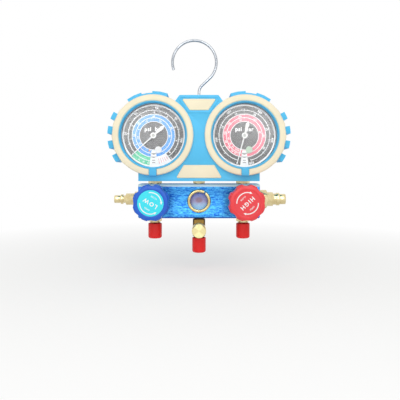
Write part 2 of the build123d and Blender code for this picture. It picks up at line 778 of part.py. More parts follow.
tee_foot = tee_neck + tee_height
with BuildPart() as centre_tee:
    port = (0, -port_depth, -bar_top)
    with BuildSketch(Plane.XY.offset(-bar_top - tee_neck)):
        with Locations((0, -port_depth)):
            Rectangle(tee_width, tee_width)
    extrude(amount=-tee_height)
    chamfer(centre_tee.edges().filter_by(Axis.Z), 1.5)
    turned(port, DOWN, [
        (-port_thread_length + 0.3, 0),
        (-port_thread_length + 0.3, port_thread - thread_fit),
        (0, port_thread - thread_fit), (0, flare_thread),
        (tee_foot + flare_length - flare_cone, flare_thread),
        (tee_foot + flare_length, flare_tip), (tee_foot + flare_length, 0)])
    turned((0, 0, -bar_top - service_drop), FRONT, [
        (port_depth, 0), (port_depth, flare_thread),
        (service_front - flare_cone, flare_thread), (service_front, flare_tip),
        (service_front, 0)])
    drill((0, -port_depth, -bar_top + port_thread_length), DOWN,
          (port_thread_length + tee_foot + flare_length, passage))
    drill((0, -port_depth, -bar_top - service_drop), FRONT,
          (core_front - core_length - port_depth - 3, 2.3),
          (service_front - core_front + core_length + 3, core_radius + thread_fit))
save(centre_tee, "centre_tee")


def flare_cap(start, origin, along):
    """Screw cap over a flare thread, with a rounded closed end."""
    end = start + cap_length
    bore = flare_thread + seat_fit
    turned(origin, along, [
        (start, bore), (start, cap_radius - 0.5), (start + 0.5, cap_radius),
        *[(end - cap_round + cap_round * sin(radians(turn)),
           cap_radius - cap_round + cap_round * cos(radians(turn)))
          for turn in (0, 25, 50, 70, 90)],
        (end, 0), (end - cap_end, 0), (end - cap_end, bore)])


def cap_gasket(start, origin, along):
    """Flat disc at the bottom of a cap."""
    end = start + cap_length - cap_end
    turned(origin, along, steps(end - gasket_thickness, (gasket_thickness, flare_thread)))


cap_spots = {
    "low": (fitting_hex + cap_start, (side_x["low"], -port_depth, -bar_top)),
    "high": (fitting_hex + cap_start, (side_x["high"], -port_depth, -bar_top)),
    "centre": (tee_foot + cap_start, (0, -port_depth, -bar_top)),
}
for name, (start, origin) in cap_spots.items():
    with BuildPart() as hose_cap:
        flare_cap(start, origin, DOWN)
    save(hose_cap, f"{name}_hose_cap")
    with BuildPart() as gasket:
        cap_gasket(start, origin, DOWN)
    save(gasket, f"{name}_cap_gasket")

# Service port in the front of the tee: valve core, its pin and a brass cap
service = (0, 0, -bar_top - service_drop)
with BuildPart() as service_core:
    core_back = core_front - core_length
    turned(service, FRONT, steps(core_back, (core_length, core_radius), bore=1.3))
    turned(service, FRONT, steps(core_front - 1, (1, core_radius), bore=pin_radius + 0.1))
save(service_core, "service_core")

with BuildPart() as core_pin:
    turned(service, FRONT, [
        (core_back - 2, 0), (core_back - 2, 1.2), (core_back - 1.2, 2.0),
        (core_back - 0.1, 2.0), (core_back - 0.1, pin_radius),
        (core_front + 0.8, pin_radius), (core_front + 0.8, 0)])
save(core_pin, "core_pin")

with BuildPart() as service_cap:
    cap_back = service_front - flare_length + cap_start
    turned(service, FRONT, [
        (cap_back, flare_thread + seat_fit), (cap_back, cap_radius - 0.5),
        (cap_back + 0.5, cap_radius), (cap_back + cap_length - 0.8, cap_radius),
        (cap_back + cap_length, cap_radius - 0.8), (cap_back + cap_length, 0),
        (cap_back + cap_length - cap_end, 0),
        (cap_back + cap_length - cap_end, flare_thread + seat_fit)])
save(service_cap, "service_cap")

# Parking posts on the bar's two ends, which also close the cross drilling
for side, along in (("low", LEFT), ("high", RIGHT)):
    with BuildPart() as parking_post:
        seat = (along[0] * bar_width / 2, -post_depth, post_rise)
        hex_length, hex_flats = post_hex[side]
        turned(seat, along, steps(
            -post_thread_length, (post_thread_length, post_thread - thread_fit),
            (hex_length, hex_flats / 2 - 0.3), *post_sections[side]))
        hexagon(seat, along, 0, hex_length, hex_flats)
    save(parking_post, f"{side}_parking_post")
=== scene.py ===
"""The looks of a two-gauge refrigerant manifold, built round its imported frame."""

import json
from math import cos, pi, radians, sin

import bpy
from bpy.props import FloatProperty, FloatVectorProperty, PointerProperty
from bpy.types import NodeSocket, Operator, Panel, PropertyGroup
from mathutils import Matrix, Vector

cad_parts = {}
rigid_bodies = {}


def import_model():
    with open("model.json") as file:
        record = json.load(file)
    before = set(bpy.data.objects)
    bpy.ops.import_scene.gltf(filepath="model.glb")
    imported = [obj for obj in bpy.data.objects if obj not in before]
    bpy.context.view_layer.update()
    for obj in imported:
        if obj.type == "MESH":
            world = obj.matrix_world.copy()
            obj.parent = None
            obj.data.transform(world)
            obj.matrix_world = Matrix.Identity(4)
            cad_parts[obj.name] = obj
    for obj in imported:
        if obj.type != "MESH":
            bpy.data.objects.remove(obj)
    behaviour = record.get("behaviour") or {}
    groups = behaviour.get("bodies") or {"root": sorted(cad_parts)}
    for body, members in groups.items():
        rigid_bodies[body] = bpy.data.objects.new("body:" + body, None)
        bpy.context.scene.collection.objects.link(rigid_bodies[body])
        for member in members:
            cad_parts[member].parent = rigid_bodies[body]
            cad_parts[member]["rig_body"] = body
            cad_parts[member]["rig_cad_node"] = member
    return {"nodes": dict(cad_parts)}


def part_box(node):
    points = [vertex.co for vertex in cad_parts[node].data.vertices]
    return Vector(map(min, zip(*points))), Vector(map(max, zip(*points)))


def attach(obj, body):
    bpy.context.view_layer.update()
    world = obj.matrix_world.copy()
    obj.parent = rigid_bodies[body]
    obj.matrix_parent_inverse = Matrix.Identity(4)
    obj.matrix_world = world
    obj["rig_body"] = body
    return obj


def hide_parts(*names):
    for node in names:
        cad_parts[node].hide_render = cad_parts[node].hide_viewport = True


bl_info = {
    "name": "Refrigerant Manifold Gauge",
    "version": (1, 0, 0),
    "blender": (4, 5, 0),
    "location": "View3D > Sidebar > Manifold",
    "description": "Dresses a two-gauge refrigerant manifold: rubber boot, dials, knobs and brass",
    "category": "Object",
}

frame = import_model()
nodes = frame["nodes"]

MM = 0.001
SIDES = ("low", "high")

# Faces that meet at less than this are shaded as one surface
SMOOTH_ANGLE = radians(40)

# Flare thread of the hose ports and the service port, 7/16-20, in mm: its radius, its pitch, and
# how far back from the port's tip it starts and ends
FLARE_RADIUS = 5.5
FLARE_PITCH = 1.27
FLARE_START, FLARE_END = 13.0, 2.0

# Print on a dial, with inner and outer radii in mm
RIM = (30.9, 32.6)
COLOUR_BAND = (14.9, 22.1)
LOWER_ZONE = (22.5, 30.9)
SCALE_LINE = (25.95, 26.6)
CIRCLES = ((21.9, 22.6), (18.3, 18.9), (14.4, 15.0))
FINE_LINE = (26.4, 27.3)
BOLD_LINE = (25.2, 27.7)
BAR_LINE = (25.4, 26.2)
VACUUM_LINE = (26.4, 27.7)

# Scale of each dial. In psi: the last figure, the step of the figures and that of the fine lines.
# In bar: the last figure and the step. As clock angles: zero, the sweep up to the last figure,
# and where the scale's own line starts and ends
SCALES = {
    "low": {"last": 120, "step": 20, "fine": 4, "last_bar": 8, "bar_step": 1,
            "zero": 228, "sweep": 277, "line": (188, 532)},
    "high": {"last": 500, "step": 100, "fine": 20, "last_bar": 30, "bar_step": 5,
             "zero": 195, "sweep": 330, "line": (195, 525)},
}
PSI_PER_BAR = 14.504

# Saturation pressures in psi at round temperatures, which place the figures of the coloured band
BOIL_CELSIUS = {-20: 4.5, -10: 14.6, 0: 27.8, 10: 45.5, 20: 68.2, 30: 97, 40: 132.7, 60: 229.5,
                80: 367.4}
BOIL_FAHRENHEIT = {0: 6.5, 20: 18.4, 40: 35, 60: 57.4, 80: 86.4, 100: 124, 120: 171, 140: 229,
                   160: 300, 180: 386}

# Arrows on a knob's label: radii of the shaft and of the head's two corners, in mm, and how many
# degrees the head reaches ahead
ARROW = (10.0, 10.9)
ARROW_HEAD = (9.3, 11.7)
ARROW_MIDDLE = 10.5
ARROW_REACH = 14

# White cap of a pointer's hub and the grey spot in it, radii in mm
HUB_CAP, HUB_SPOT = 3.1, 1.55

# Height of the floor, which leaves room under the caps for their travel, and the camera's place
# and lens, worked out from the photo
FLOOR_LEVEL = -0.0752
CAMERA_PLACE = (0, -0.524, 0.0303)
CAMERA_LENS = 42.84
CAMERA_SHIFT = (0.0025, -0.07)


def linear(code):
    """An sRGB hex colour as linear red, green, blue and alpha."""
    channels = [int(code[i:i + 2], 16) / 255 for i in (1, 3, 5)]
    return [c / 12.92 if c <= 0.04045 else ((c + 0.055) / 1.055) ** 2.4 for c in channels] + [1.0]


def per_mm(size):
    """Texture scale whose features are about size millimetres across."""
    return 1 / (size * MM)


def middle(node):
    """Centre of a frame node's box."""
    low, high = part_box(node)
    return (low + high) / 2


def front(node):
    """The y of a frame node's front face."""
    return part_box(node)[0].y


# ---------------------------------------------------------------- modelling helpers

def deselect():
    bpy.ops.object.select_all(action="DESELECT")


def choose(*pieces):
    """Selects the pieces alone; the first one is active."""
    deselect()
    for piece in pieces:
        piece.select_set(True)
    bpy.context.view_layer.objects.active = pieces[0]


def edit_all(piece):
    """Opens a piece in edit mode with its whole mesh selected."""
    choose(piece)
    bpy.ops.object.mode_set(mode="EDIT")
    bpy.ops.mesh.select_all(action="SELECT")


def close(piece, *finishes):
    """Leaves edit mode and gives the piece its materials."""
    bpy.ops.object.mode_set(mode="OBJECT")
    piece.data.materials.clear()
    for name in finishes:
        piece.data.materials.append(finish(name))
    return piece


def modify(piece, kind, **settings):
    """Adds one modifier, sets it and applies it."""
    choose(piece)
    modifier = piece.modifiers.new(kind.title(), kind)
    for key, value in settings.items():
        setattr(modifier, key, value)
    bpy.ops.object.modifier_apply(modifier=modifier.name)


def soften(node, width, finishes, angle=30, segments=2):
    """A copy of a frame node with its edges rounded, which stands for the node."""
    choose(nodes[node])
    bpy.ops.object.duplicate()
    piece = bpy.context.active_object
    piece.name = f"{node}_finished"
    del piece["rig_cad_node"]
    piece.parent = None
    edit_all(piece)
    bpy.ops.mesh.remove_doubles(threshold=0.004 * MM)
    bpy.ops.mesh.dissolve_limited(angle_limit=radians(0.3))
    close(piece, finishes)
    modify(piece, "BEVEL", width=width * MM, segments=segments, limit_method="ANGLE",
           angle_limit=radians(angle), use_clamp_overlap=True, miter_outer="MITER_ARC")
    bpy.ops.object.shade_smooth_by_angle(angle=SMOOTH_ANGLE)
    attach(piece, nodes[node]["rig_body"])
    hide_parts(node)
    return piece


def flare_thread(piece, centre, axis, tip):
    """Cuts the V thread of a port whose tip is that many mm from the centre along the axis."""
    along, out = Vector(axis), Vector((1, 0, 0))
    start, end = tip - FLARE_START, tip - FLARE_END
    half_width, depth, clear = 0.46 * FLARE_PITCH, 0.5 * FLARE_PITCH, 0.1
    corners = (along * (start - half_width) + out * (FLARE_RADIUS + clear),
               along * start + out * (FLARE_RADIUS - depth),
               along * (start + half_width) + out * (FLARE_RADIUS + clear))
    tool = polyline("thread_tool", [corner * MM for corner in corners])
    bpy.ops.mesh.edge_face_add()
    bpy.ops.object.mode_set(mode="OBJECT")
    modify(tool, "SCREW", axis="Z" if axis[2] else "Y", angle=2 * pi, steps=28,
           render_steps=28, screw_offset=FLARE_PITCH * MM * sum(axis),
           iterations=round((end - start) / FLARE_PITCH))
    edit_all(tool)
    bpy.ops.mesh.remove_doubles(threshold=0.001 * MM)
    bpy.ops.mesh.fill_holes(sides=0)
    bpy.ops.mesh.normals_make_consistent(inside=False)
    bpy.ops.object.mode_set(mode="OBJECT")
    tool.location = centre
    bpy.ops.object.transform_apply(location=True, rotation=True, scale=True)
    modify(piece, "BOOLEAN", object=tool, operation="DIFFERENCE", solver="EXACT")
    bpy.data.objects.remove(tool)


def polyline(name, points):
    """A new piece, open in edit mode, with a run of edges extruded through the points."""
    deselect()
    bpy.ops.mesh.primitive_plane_add(size=MM)
    piece = bpy.context.active_object
    piece.name = name
    bpy.ops.object.mode_set(mode="EDIT")
    bpy.ops.mesh.select_all(action="SELECT")
    bpy.ops.mesh.merge(type="CENTER")
    bpy.ops.transform.translate(value=points[0])
    for here, there in zip(points, points[1:]):
        bpy.ops.mesh.extrude_region_move(TRANSFORM_OT_translate={"value": there - here})
    bpy.ops.mesh.select_all(action="SELECT")
    return piece


def on_face(centre, radius, turn):
    """A point on a round face seen from the front, in mm and clockwise degrees from 12 o'clock."""
    a = radians(turn)
    return centre + Vector((radius * sin(a), 0, radius * cos(a))) * MM


def face_front():
    """Turns the open mesh's faces towards the front, where they are seen from."""
    bpy.ops.object.mode_set(mode="OBJECT")
    mesh = bpy.context.active_object.data
    for face in mesh.polygons:
        face.select = face.normal.y > 0
    bpy.ops.object.mode_set(mode="EDIT")
    bpy.ops.mesh.select_mode(type="FACE")
    bpy.ops.mesh.flip_normals()
    bpy.ops.mesh.select_mode(type="VERT")


def band(name, centre, inner, outer, start, end, material):
    """A flat printed ring or arc between two radii, from one clock angle to another."""
    piece = polyline(name, [on_face(centre, inner, start), on_face(centre, outer, start)])
    bpy.ops.mesh.spin(steps=max(3, round((end - start) / 4)), angle=-radians(end - start),
                      center=centre, axis=(0, 1, 0))
    bpy.ops.mesh.select_all(action="SELECT")
    bpy.ops.mesh.remove_doubles(threshold=0.002 * MM)
    face_front()
    return close(piece, material)


def ticks(name, centre, inner, outer, width, start, end, count, material):
    """A row of equal printed lines that point at the centre."""
    across = on_face(Vector(), width, start + 90)
    corner = on_face(centre, inner, start) - across / 2
    piece = polyline(name, [corner, corner + on_face(Vector(), outer - inner, start)])
    bpy.ops.mesh.extrude_region_move(TRANSFORM_OT_translate={"value": across})
    bpy.ops.mesh.select_all(action="SELECT")
    if count > 1:
        bpy.ops.mesh.spin(steps=count - 1, angle=-radians(end - start), center=centre,
                          axis=(0, 1, 0), dupli=True)
    face_front()
    return close(piece, material)


def patch(name, points, material):
    """A flat printed shape with the given corners."""
    piece = polyline(name, points)
    bpy.ops.mesh.edge_face_add()
    face_front()
    return close(piece, material)


def spot(name, centre, radius, material, corners=24):
    """A printed dot."""
    deselect()
    bpy.ops.mesh.primitive_circle_add(vertices=corners, radius=radius * MM, fill_type="NGON",
                                      location=centre, rotation=(pi / 2, 0, 0))
    piece = bpy.context.active_object
    piece.name = name
    bpy.ops.object.transform_apply(location=True, rotation=True, scale=True)
    edit_all(piece)
    face_front()
    return close(piece, material)


def word(text, centre, height, turn, material, bold=0.06, spread=1.1):
    """Printed letters or figures, turned clockwise on the face that carries them."""
    deselect()
    bpy.ops.object.text_add(rotation=(pi / 2, radians(turn), 0))
    piece = bpy.context.active_object
    piece.name = "word"
    piece.data.body = text
    piece.data.size = height * MM / 0.72
    piece.data.align_x = "CENTER"
    piece.data.align_y = "CENTER"
    piece.data.resolution_u = 2
    piece.data.offset = bold * MM
    piece.data.space_character = spread
    bpy.ops.object.convert(target="MESH")
    piece = bpy.context.active_object
    piece.location = centre
    bpy.ops.object.transform_apply(location=True, rotation=True, scale=True)
    piece.data.materials.clear()
    piece.data.materials.append(finish(material))
    return piece


def join(name, pieces, body, slot):
    """Joins printed pieces into one that rides on a body."""
    choose(*pieces)
    bpy.ops.object.join()
    piece = bpy.context.active_object
    piece.name = name
    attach(piece, body)
    return piece


# ---------------------------------------------------------------- materials

def add_node(tree, kind, inputs=None, **settings):
    """Adds one shader node, sets its properties, and fills or links its inputs."""
    node = tree.nodes.new(kind)
    for key, value in settings.items():
        setattr(node, key, value)
    for key, value in (inputs or {}).items():
        if isinstance(value, NodeSocket):
            tree.links.new(value, node.inputs[key])
        else:
            node.inputs[key].default_value = value
    return node


def begin(name, **sockets):
    """A new material with one shader, its flat values set, and the object's own coordinates."""
    material = bpy.data.materials.new(name)
    material.use_nodes = True
    tree = material.node_tree
    shader = tree.nodes["Principled BSDF"]
    for key, value in sockets.items():
        shader.inputs[key.replace("_", " ")].default_value = value
    place = add_node(tree, "ShaderNodeTexCoord").outputs["Object"]
    return material, tree, shader, place


def drive(shader, **outputs):
    """Links node outputs into the shader's inputs of the same names."""
    for key, output in outputs.items():
        shader.id_data.links.new(output, shader.inputs[key.replace("_", " ")])


def darker(code, share):
    """A hex colour with only that share of its light."""
    return [c * share for c in linear(code)[:3]] + [1.0]


def seen_directly(tree):
    """1 for rays that show the background, in the camera, a reflection or through glass."""
    path = add_node(tree, "ShaderNodeLightPath")
    straight = add_node(tree, "ShaderNodeMath", {
        0: path.outputs["Is Camera Ray"], 1: path.outputs["Is Glossy Ray"]}, operation="MAXIMUM")
    return add_node(tree, "ShaderNodeMath", {
        0: straight.outputs["Value"], 1: path.outputs["Is Transmission Ray"]},
        operation="MAXIMUM").outputs["Value"]


def moulded_rubber(name, code):
    # Thermoplastic rubber, injection moulded: even colour, a soft wide sheen and a fine spark grain
    material, tree, shader, place = begin(name, Roughness=0.52, IOR=1.5)
    cloud = add_node(tree, "ShaderNodeTexNoise",
                     {"Vector": place, "Scale": per_mm(18), "Detail": 2.0})
    tint = add_node(tree, "ShaderNodeMix", {
        "Factor": cloud.outputs["Fac"], 6: darker(code, 0.86), 7: linear(code)}, data_type="RGBA")
    grain = add_node(tree, "ShaderNodeTexNoise",
                     {"Vector": place, "Scale": per_mm(0.5), "Detail": 3.0})
    sheen = add_node(tree, "ShaderNodeMapRange", {
        "Value": grain.outputs["Fac"], "To Min": 0.44, "To Max": 0.6})
    bump = add_node(tree, "ShaderNodeBump", {
        "Height": grain.outputs["Fac"], "Strength": 0.25, "Distance": 0.05 * MM})
    drive(shader, Base_Color=tint.outputs[2], Roughness=sheen.outputs["Result"],
          Normal=bump.outputs["Normal"])
    return material


def moulded_plastic(name, code, gloss):
    # ABS, moulded glossy: deep even colour, faint flow marks and fine handling scratches
    material, tree, shader, place = begin(name, IOR=1.54)
    flow = add_node(tree, "ShaderNodeTexNoise",
                    {"Vector": place, "Scale": per_mm(9), "Detail": 3.0, "Distortion": 0.6})
    tint = add_node(tree, "ShaderNodeMix", {
        "Factor": flow.outputs["Fac"], 6: darker(code, 0.84), 7: linear(code)}, data_type="RGBA")
    marks = add_node(tree, "ShaderNodeTexNoise",
                     {"Vector": place, "Scale": per_mm(0.8), "Detail": 4.0})
    sheen = add_node(tree, "ShaderNodeMapRange", {
        "Value": marks.outputs["Fac"], "To Min": gloss, "To Max": gloss + 0.16})
    bump = add_node(tree, "ShaderNodeBump", {
        "Height": marks.outputs["Fac"], "Strength": 0.12, "Distance": 0.04 * MM})
    drive(shader, Base_Color=tint.outputs[2], Roughness=sheen.outputs["Result"],
          Normal=bump.outputs["Normal"])
    return material


def anodised_aluminium(name):
    # Aluminium, drawn, brushed level by hand and dyed: short wavy strokes, deep in the valleys and
    # pale on the crests. A painted highlight runs along the upper front edge and painted shade
    # along the lower one
    material, tree, shader, place = begin(name)
    stretch = add_node(tree, "ShaderNodeMapping", {"Vector": place, "Scale": (0.24, 1.0, 1.0)})
    waves = add_node(tree, "ShaderNodeTexNoise", {
        "Vector": stretch.outputs["Vector"], "Scale": per_mm(1.05), "Detail": 2.0,
        "Roughness": 0.55, "Distortion": 1.1})
    hairs = add_node(tree, "ShaderNodeTexNoise", {
        "Vector": stretch.outputs["Vector"], "Scale": per_mm(0.45), "Detail": 2.0})
    crest = add_node(tree, "ShaderNodeMapRange", {
        "Value": waves.outputs["Fac"], "From Min": 0.4, "From Max": 0.62})
    dye = add_node(tree, "ShaderNodeMix", {
        "Factor": crest.outputs["Result"], 6: linear("#1a6cd6"), 7: linear("#5cc6ff")},
        data_type="RGBA")
    axes = add_node(tree, "ShaderNodeSeparateXYZ", {"Vector": place})
    height = axes.outputs["Z"]
    low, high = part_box("manifold_body")
    # Painted highlight: the top of the front face and the chamfer over it are made pale and not
    # metallic
    highlight_height = add_node(tree, "ShaderNodeMapRange", {
        "Value": height, "From Min": high.z - 3.3 * MM, "From Max": high.z - 2.6 * MM})
    highlight_front = add_node(tree, "ShaderNodeMapRange", {
        "Value": axes.outputs["Y"], "From Min": low.y + 4.5 * MM, "From Max": low.y + 2.5 * MM})
    upper = add_node(tree, "ShaderNodeMath", {
        0: highlight_height.outputs["Result"], 1: highlight_front.outputs["Result"]}, operation="MULTIPLY")
    # Painted shade: a dark blue band along the bottom edge
    lower = add_node(tree, "ShaderNodeMapRange", {
        "Value": height, "From Min": low.z + 1.6 * MM, "From Max": low.z + 0.6 * MM})
    pale = add_node(tree, "ShaderNodeMix", {
        "Factor": upper.outputs["Value"], 6: dye.outputs[2], 7: linear("#e2fbff")},
        data_type="RGBA")
    painted_shade = add_node(tree, "ShaderNodeMix", {
        "Factor": lower.outputs["Result"], 6: pale.outputs[2], 7: linear("#1a52b8")},
        data_type="RGBA")
    sheen = add_node(tree, "ShaderNodeMapRange", {
        "Value": hairs.outputs["Fac"], "To Min": 0.28, "To Max": 0.5})
    bump = add_node(tree, "ShaderNodeBump", {
        "Height": waves.outputs["Fac"], "Strength": 0.8, "Distance": 0.3 * MM})
    fine = add_node(tree, "ShaderNodeBump", {
        "Height": hairs.outputs["Fac"], "Strength": 0.2, "Distance": 0.04 * MM,
        "Normal": bump.outputs["Normal"]})
    metal = add_node(tree, "ShaderNodeMapRange", {
        "Value": upper.outputs["Value"], "To Min": 0.75, "To Max": 0.0})
    drive(shader, Base_Color=painted_shade.outputs[2], Metallic=metal.outputs["Result"],
          Roughness=sheen.outputs["Result"], Normal=fine.outputs["Normal"])
    return material


def turned_metal(name, code, rough, worn):
    # Metal turned on a lathe and tumbled: bright, with faint tool lines and duller patches from
    # handling
    material, tree, shader, place = begin(name, Metallic=1.0)
    patches = add_node(tree, "ShaderNodeTexNoise",
                       {"Vector": place, "Scale": per_mm(5), "Detail": 4.0})
    tint = add_node(tree, "ShaderNodeMix", {
        "Factor": patches.outputs["Fac"], 6: linear(worn), 7: linear(code)}, data_type="RGBA")
    lines = add_node(tree, "ShaderNodeTexNoise",
                     {"Vector": place, "Scale": per_mm(0.35), "Detail": 2.0})
    sheen = add_node(tree, "ShaderNodeMapRange", {
        "Value": patches.outputs["Fac"], "To Min": rough, "To Max": rough + 0.16})
    bump = add_node(tree, "ShaderNodeBump", {
        "Height": lines.outputs["Fac"], "Strength": 0.12, "Distance": 0.03 * MM})
    drive(shader, Base_Color=tint.outputs[2], Roughness=sheen.outputs["Result"],
          Normal=bump.outputs["Normal"])
    return material


def faced_brass(name):
    # Brass faced in the lathe: fine grooves round the service cap's axis, drawn coarse enough to
    # show, which spread the light in an upright fan
    material, tree, shader, place = begin(
        name, Metallic=1.0, Roughness=0.3, Anisotropic=0.85, Anisotropic_Rotation=0.25)
    centre = middle("service_cap")
    home = add_node(tree, "ShaderNodeMapping", {
        "Vector": place, "Location": (-centre.x, 0.0, -centre.z), "Scale": (1.0, 0.0, 1.0)})
    rings = add_node(tree, "ShaderNodeTexWave", {
        "Vector": home.outputs["Vector"], "Scale": per_mm(3.2), "Distortion": 0.4, "Detail": 1.0},
        wave_type="RINGS", rings_direction="SPHERICAL")
    tint = add_node(tree, "ShaderNodeMix", {
        "Factor": rings.outputs["Fac"], 6: linear("#ecd888"), 7: linear("#fff6cc")},
        data_type="RGBA")
    bump = add_node(tree, "ShaderNodeBump", {
        "Height": rings.outputs["Fac"], "Strength": 0.35, "Distance": 0.06 * MM})
    grooves = add_node(tree, "ShaderNodeTangent", direction_type="RADIAL", axis="Y")
    drive(shader, Base_Color=tint.outputs[2], Normal=bump.outputs["Normal"],
          Tangent=grooves.outputs["Tangent"])
    return material


def drawn_chrome(name):
    # Steel wire, drawn and chrome plated: mirror bright, with small duller patches
    material, tree, shader, place = begin(name, Metallic=1.0)
    streaks = add_node(tree, "ShaderNodeTexNoise",
                       {"Vector": place, "Scale": per_mm(2.5), "Detail": 3.0})
    tint = add_node(tree, "ShaderNodeMix", {
        "Factor": streaks.outputs["Fac"], 6: linear("#888e96"), 7: linear("#c9cdd2")},
        data_type="RGBA")
    sheen = add_node(tree, "ShaderNodeMapRange", {
        "Value": streaks.outputs["Fac"], "To Min": 0.1, "To Max": 0.26})
    drive(shader, Base_Color=tint.outputs[2], Roughness=sheen.outputs["Result"])
    return material


def printed_ink(name, code, rough=0.45, varnish=0.0):
    # Screen-printed enamel: flat colour with the slight unevenness of a thin coat. A varnish over
    # it, as on the dials, adds a pale haze where it faces a window
    material, tree, shader, place = begin(
        name, Roughness=rough, Coat_Weight=varnish, Coat_Roughness=0.22, Coat_IOR=1.65)
    coat = add_node(tree, "ShaderNodeTexNoise",
                    {"Vector": place, "Scale": per_mm(3), "Detail": 3.0})
    tint = add_node(tree, "ShaderNodeMix", {
        "Factor": coat.outputs["Fac"], 6: darker(code, 0.93), 7: linear(code)}, data_type="RGBA")
    drive(shader, Base_Color=tint.outputs[2])
    return material


def varnished_ink(name, code):
    return printed_ink(name, code, varnish=1.0)


def clear_window(name, code, gleam):
    # Clear flat window: sharp and straight to look through, so its body bends nothing, with a broad
    # soft gleam on its hard coat, and it lets the lamps through to what lies behind it
    material, tree, shader, place = begin(
        name, Base_Color=linear(code), IOR=1.0, Transmission_Weight=1.0, Roughness=0.0,
        Coat_Weight=gleam)
    film = add_node(tree, "ShaderNodeTexNoise",
                    {"Vector": place, "Scale": per_mm(14), "Detail": 2.0})
    sheen = add_node(tree, "ShaderNodeMapRange", {
        "Value": film.outputs["Fac"], "To Min": 0.18, "To Max": 0.24})
    drive(shader, Coat_Roughness=sheen.outputs["Result"])
    path = add_node(tree, "ShaderNodeLightPath")
    straight = add_node(tree, "ShaderNodeMath", {
        0: path.outputs["Is Shadow Ray"], 1: path.outputs["Is Diffuse Ray"]}, operation="MAXIMUM")
    through = add_node(tree, "ShaderNodeBsdfTransparent", {"Color": linear(code)})
    both = add_node(tree, "ShaderNodeMixShader", {
        0: straight.outputs["Value"], 1: shader.outputs["BSDF"], 2: through.outputs["BSDF"]})
    tree.links.new(both.outputs["Shader"], tree.nodes["Material Output"].inputs["Surface"])
    return material


def oiled_floor(name):
    # Machined floor of the sight glass, with a painted reflection on it, violet above and pale sky
    # blue below, and a red-brown stain in the middle
    material, tree, shader, place = begin(name, Roughness=0.3, Coat_Weight=0.5)
    stain = add_node(tree, "ShaderNodeTexNoise",
                     {"Vector": place, "Scale": per_mm(3), "Detail": 3.0})
    height = add_node(tree, "ShaderNodeSeparateXYZ", {"Vector": place}).outputs["Z"]
    drift = add_node(tree, "ShaderNodeMath", {
        0: stain.outputs["Fac"], 1: 5 * MM, 2: height}, operation="MULTIPLY_ADD")
    # Painted reflection: violet at the top, turning to pale sky blue at the bottom
    reflection_height = add_node(tree, "ShaderNodeMapRange", {
        "Value": drift.outputs["Value"], "From Min": -4 * MM, "From Max": 9 * MM})
    painted_reflection = add_node(tree, "ShaderNodeValToRGB", {"Fac": reflection_height.outputs["Result"]})
    painted_reflection.color_ramp.elements[0].color = linear("#c4f2ff")
    painted_reflection.color_ramp.elements[1].color = linear("#7c8be0")
    painted_reflection.color_ramp.elements.new(0.45).color = linear("#c4b2dc")
    across = add_node(tree, "ShaderNodeMapping", {
        "Vector": place, "Location": (0.0, 0.0, -0.2), "Scale": (200.0, 0.0, 260.0)})
    ball = add_node(tree, "ShaderNodeTexGradient", {"Vector": across.outputs["Vector"]},
                    gradient_type="SPHERICAL")
    heart = add_node(tree, "ShaderNodeMapRange", {
        "Value": ball.outputs["Fac"], "From Min": 0.05, "From Max": 0.5, "To Max": 0.75})
    tint = add_node(tree, "ShaderNodeMix", {
        "Factor": heart.outputs["Result"], 6: painted_reflection.outputs["Color"], 7: linear("#a86a70")},
        data_type="RGBA")
    drive(shader, Base_Color=tint.outputs[2])
    return material


# Each finish: what makes it, and the values for that
FINISHES = {
    "blue_moulded_rubber": (moulded_rubber, "#58ccff"),
    "cream_moulded_rubber": (moulded_rubber, "#fff4d6"),
    "nitrile_rubber": (moulded_rubber, "#1d1e20"),
    "blue_anodised_aluminium": (anodised_aluminium,),
    "chromed_wire": (drawn_chrome,),
    "faced_brass": (faced_brass,),
    "turned_brass": (turned_metal, "#faeec2", 0.12, "#c6ae74"),
    # Brass darkened as painted shade, for the tee that sits in shadow under the bar
    "brass_in_painted_shade": (turned_metal, "#90743e", 0.26, "#4c3818"),
    "polished_brass": (turned_metal, "#f6e8b4", 0.12, "#c4aa6a"),
    "phosphor_bronze": (turned_metal, "#d69a63", 0.3, "#a8683c"),
    "plated_steel": (turned_metal, "#c4c7ca", 0.24, "#8f9498"),
    "stainless_steel": (turned_metal, "#d3d4d2", 0.2, "#a3a5a4"),
    "blue_abs": (moulded_plastic, "#0860d8", 0.3),
    "red_abs": (moulded_plastic, "#f83a42", 0.26),
    "red_vinyl": (moulded_plastic, "#ff0a04", 0.36),
    "white_acetal": (moulded_plastic, "#ffffff", 0.34),
    "pale_green_acetal": (moulded_plastic, "#cfe6d2", 0.34),
    "cyan_film": (printed_ink, "#3deafc", 0.3),
    "red_film": (printed_ink, "#f2424a", 0.3),
    "white_gloss_enamel": (printed_ink, "#ffffff", 0.35),
    "hub_grey": (printed_ink, "#c6c8c4"),
    "dial_grey": (varnished_ink, "#323436"),
    "dial_white": (varnished_ink, "#ffffff"),
    "dial_blue": (varnished_ink, "#2496ea"),
    "dial_pink": (varnished_ink, "#ea607a"),
    "dial_green": (varnished_ink, "#4fd3a2"),
    "dial_red": (varnished_ink, "#e2546e"),
    "dial_orange": (varnished_ink, "#e8963a"),
    "dial_black": (varnished_ink, "#2a2c2e"),
    "clear_polycarbonate": (clear_window, "#ffffff", 0.15),
    "sight_mineral_glass": (clear_window, "#f6faff", 0.8),
    "sight_floor_painted_reflection": (oiled_floor,),
}
made = {}


def finish(name):
    """The named material, made the first time it is asked for."""
    if name not in made:
        maker, *values = FINISHES[name]
        made[name] = maker(name, *values)
    return made[name]


def dress(names, material):
    """Gives frame nodes their material."""
    for name in names:
        nodes[name].data.materials.clear()
        nodes[name].data.materials.append(finish(material))


def both(*names):
    """The low and the high side's node of each name."""
    return [f"{side}_{name}" for name in names for side in SIDES]


# ---------------------------------------------------------------- sizes and colours to change

